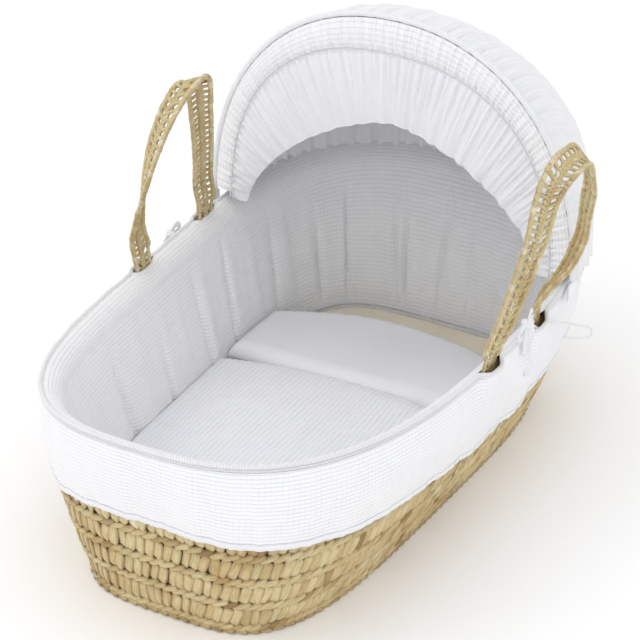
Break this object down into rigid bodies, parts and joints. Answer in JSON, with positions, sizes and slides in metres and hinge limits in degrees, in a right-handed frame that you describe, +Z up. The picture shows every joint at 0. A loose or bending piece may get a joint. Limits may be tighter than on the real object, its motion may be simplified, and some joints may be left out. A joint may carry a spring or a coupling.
{
  "type": "moses basket",
  "caption": "Woven palm moses basket with padded dressing, mattress, coverlet, swinging carry handles and a folding fabric hood.",
  "frame": {"origin": "middle of the underside of the base panel, on the floor", "axes": "+X towards the head end and the hood, +Y to the left side, +Z up"},
  "size_m": [0.8452, 0.5682, 0.5378],
  "materials": {
    "palm": "dry woven palm leaf",
    "palm_binding": "twisted palm cord",
    "waffle": "padded waffle cotton",
    "cotton": "plain woven cotton",
    "mattress": "cream knitted cover",
    "elastic": "covered elastic",
    "wire": "spring wire"
  },
  "bodies": {
    "basket": {"base_panel": "palm_binding", "wall_course_1": "palm", "wall_binding_1": "palm_binding", "wall_course_2": "palm", "wall_binding_2": "palm_binding", "wall_course_3": "palm", "wall_binding_3": "palm_binding", "wall_course_4": "palm", "wall_binding_4": "palm_binding", "wall_course_5": "palm", "wall_binding_5": "palm_binding", "wall_course_6": "palm", "wall_binding_6": "palm_binding", "rim_coil": "palm", "dressing_liner": "waffle", "dressing_skirt": "waffle", "skirt_elastic": "elastic", "dressing_rim_cap": "waffle", "strap_anchor_right_front": "palm_binding", "strap_anchor_right_rear": "palm_binding", "strap_anchor_left_front": "palm_binding", "strap_anchor_left_rear": "palm_binding", "hood_rear_cover": "waffle", "hood_hem": "waffle", "hood_pocket_left": "cotton", "hood_pocket_right": "cotton", "tie_right_knot": "cotton", "tie_right_tail_long": "cotton", "tie_right_tail_short": "cotton", "tie_right_loop": "cotton", "tie_left_knot": "cotton", "tie_left_tail_long": "cotton", "tie_left_tail_short": "cotton"},
    "mattress": {"mattress_foam": "mattress", "mattress_cover": "mattress"},
    "coverlet": {"coverlet_quilt": "waffle", "coverlet_turnback": "cotton"},
    "handle_right": {"handle_right_outer_edge": "palm", "handle_right_lattice": "palm", "handle_right_inner_edge": "palm"},
    "handle_left": {"handle_left_outer_edge": "palm", "handle_left_lattice": "palm", "handle_left_inner_edge": "palm"},
    "hood": {"hood_wire": "wire", "hood_front_cover": "waffle", "hood_band": "waffle", "hood_frill": "cotton"},
    "hood_middle": {"hood_middle_cover": "waffle"}
  },
  "joints": [
    {"name": "handle_right_swing", "type": "hinge", "parent": "basket", "child": "handle_right", "pos_m": [0, -0.248, 0.236], "axis": [1, 0, 0], "range_deg": [-44, 114]},
    {"name": "handle_left_swing", "type": "hinge", "parent": "basket", "child": "handle_left", "pos_m": [0, 0.248, 0.236], "axis": [1, 0, 0], "range_deg": [-144, 38]},
    {"name": "hood_fold", "type": "hinge", "parent": "basket", "child": "hood", "pos_m": [0.18, 0, 0.25], "axis": [0, 1, 0], "range_deg": [0, 48]},
    {"name": "hood_middle_fold", "type": "hinge", "parent": "basket", "child": "hood_middle", "pos_m": [0.18, 0, 0.25], "axis": [0, 1, 0], "range_deg": [0, 24]},
    {"name": "mattress_lift", "type": "slide", "parent": "basket", "child": "mattress", "axis": [0, 0, 1], "range_m": [0, 0.09]},
    {"name": "coverlet_lift", "type": "slide", "parent": "mattress", "child": "coverlet", "axis": [0, 0, 1], "range_m": [0, 0.05]}
  ],
  "couplings": [
    {"joint": "hood_middle_fold", "follows": "hood_fold", "ratio": 0.5}
  ]
}
